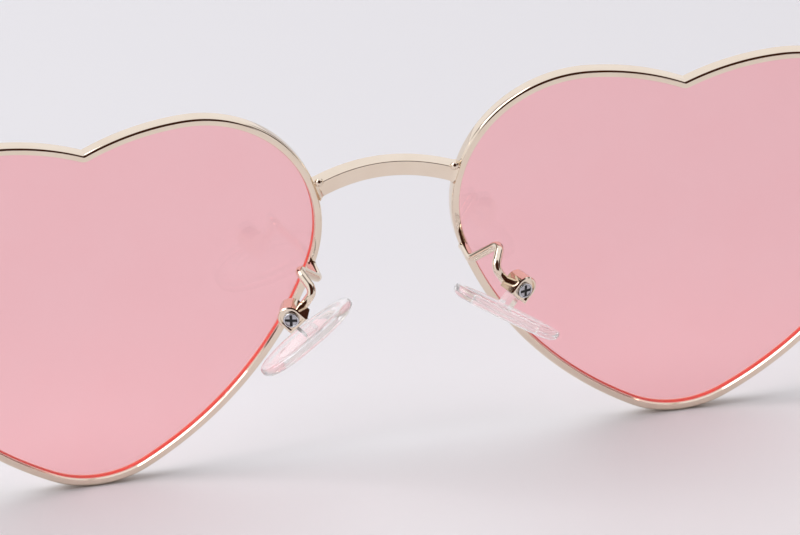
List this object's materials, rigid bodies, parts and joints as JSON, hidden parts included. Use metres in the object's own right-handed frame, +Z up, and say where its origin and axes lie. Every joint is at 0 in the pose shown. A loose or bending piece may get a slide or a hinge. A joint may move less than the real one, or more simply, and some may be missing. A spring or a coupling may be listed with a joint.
{
  "type": "heart shaped sunglasses",
  "caption": "Heart shaped sunglasses with a thin polished metal frame, pink see-through lenses, clear nose pads on bent wire arms and folding temples with clear tips.",
  "frame": {"origin": "centre of the bounding box at the level of the table, where the heart tips and the temple tips stand", "axes": "+Z up, the hearts face -Y, the open temples run back along +Y, the wearer's left side is at +X"},
  "size_m": [0.1532, 0.1436, 0.0528],
  "materials": {
    "gold": "polished, light champagne gold plating",
    "lens": "clear pink tint, glossy",
    "steel": "bright",
    "clear_plastic": "clear, glossy",
    "clear_silicone": "clear, soft, satin"
  },
  "bodies": {
    "front": {"bridge": "gold", "left_rim": "gold", "right_rim": "gold", "left_lens": "lens", "right_lens": "lens", "left_upper_rim_block": "gold", "right_upper_rim_block": "gold", "left_lower_rim_block": "gold", "right_lower_rim_block": "gold", "left_rim_screw": "steel", "right_rim_screw": "steel", "left_end_piece": "gold", "right_end_piece": "gold", "left_front_hinge_leaf": "gold", "right_front_hinge_leaf": "gold", "left_hinge_screw": "steel", "right_hinge_screw": "steel", "left_pad_arm": "gold", "right_pad_arm": "gold", "left_pad_box": "gold", "right_pad_box": "gold", "left_pad_screw": "steel", "right_pad_screw": "steel"},
    "left_temple": {"left_temple_hinge_leaf": "gold", "left_temple": "gold", "left_temple_tip": "clear_plastic"},
    "right_temple": {"right_temple_hinge_leaf": "gold", "right_temple": "gold", "right_temple_tip": "clear_plastic"},
    "left_pad": {"left_pad_core": "clear_plastic", "left_nose_pad": "clear_silicone"},
    "right_pad": {"right_pad_core": "clear_plastic", "right_nose_pad": "clear_silicone"}
  },
  "joints": [
    {"name": "left_temple_fold", "type": "hinge", "parent": "front", "child": "left_temple", "pos_m": [0.07351, -0.06015, 0.03526], "axis": [0, 0.0523, 0.9986], "range_deg": [0, 90]},
    {"name": "right_temple_fold", "type": "hinge", "parent": "front", "child": "right_temple", "pos_m": [-0.07351, -0.06015, 0.03526], "axis": [0, -0.0523, -0.9986], "range_deg": [0, 86]},
    {"name": "left_pad_rock", "type": "hinge", "parent": "front", "child": "left_pad", "pos_m": [0.0153, -0.05835, 0.0275], "axis": [0.342, 0.9397, 0], "range_deg": [-10, 10]},
    {"name": "right_pad_rock", "type": "hinge", "parent": "front", "child": "right_pad", "pos_m": [-0.0153, -0.05835, 0.0275], "axis": [-0.342, 0.9397, 0], "range_deg": [-10, 10]}
  ]
}
